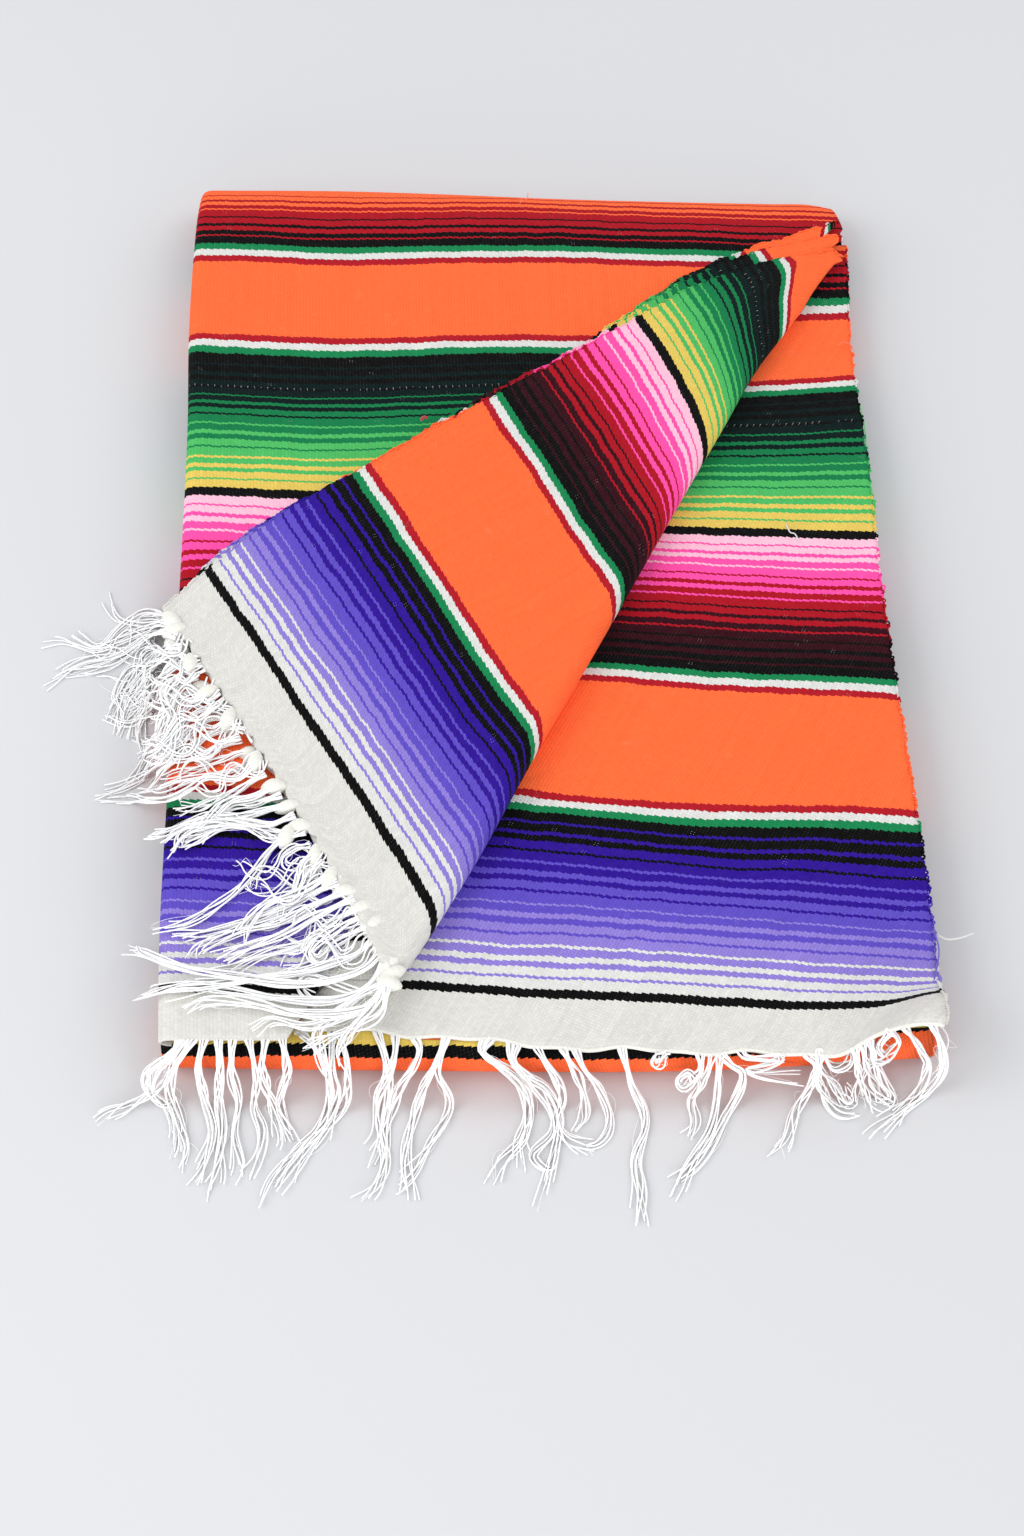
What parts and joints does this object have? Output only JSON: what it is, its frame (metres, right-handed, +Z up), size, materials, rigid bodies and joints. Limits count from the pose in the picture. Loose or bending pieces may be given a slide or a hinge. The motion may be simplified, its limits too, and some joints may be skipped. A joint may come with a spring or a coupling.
{
  "type": "mexican serape",
  "caption": "Hand-woven striped wool serape with a knotted fringe, folded into a flat pack with its upper layers turned back along the diagonal.",
  "frame": {"origin": "middle of the pack's flat underside", "axes": "+Z up from the surface it lies on, -Y towards the fringed hems, +Y towards the closed far fold, +X towards the selvedges"},
  "size_m": [0.4503, 0.653, 0.0423],
  "materials": {
    "cloth_hidden": "weft-faced wool in flat orange",
    "cloth_front": "weft-faced wool in graded stripes of blue, orange, pink and green",
    "cloth_back": "weft-faced wool in graded stripes of blue, orange, pink and green",
    "cloth_turned": "weft-faced wool in graded stripes of blue, orange, pink and green",
    "fringe_yarn": "loosely plied white yarn"
  },
  "bodies": {
    "root": {"hidden_plies": "cloth_hidden", "front_sheet": "cloth_front", "back_sheet": "cloth_back", "turned_sheet_inner": "cloth_turned", "turned_sheet_middle": "cloth_turned", "turned_sheet_outer": "cloth_turned", "fringe_back": "fringe_yarn", "fringe_front": "fringe_yarn", "fringe_turned_inner": "fringe_yarn", "fringe_turned_outer": "fringe_yarn"}
  },
  "joints": []
}
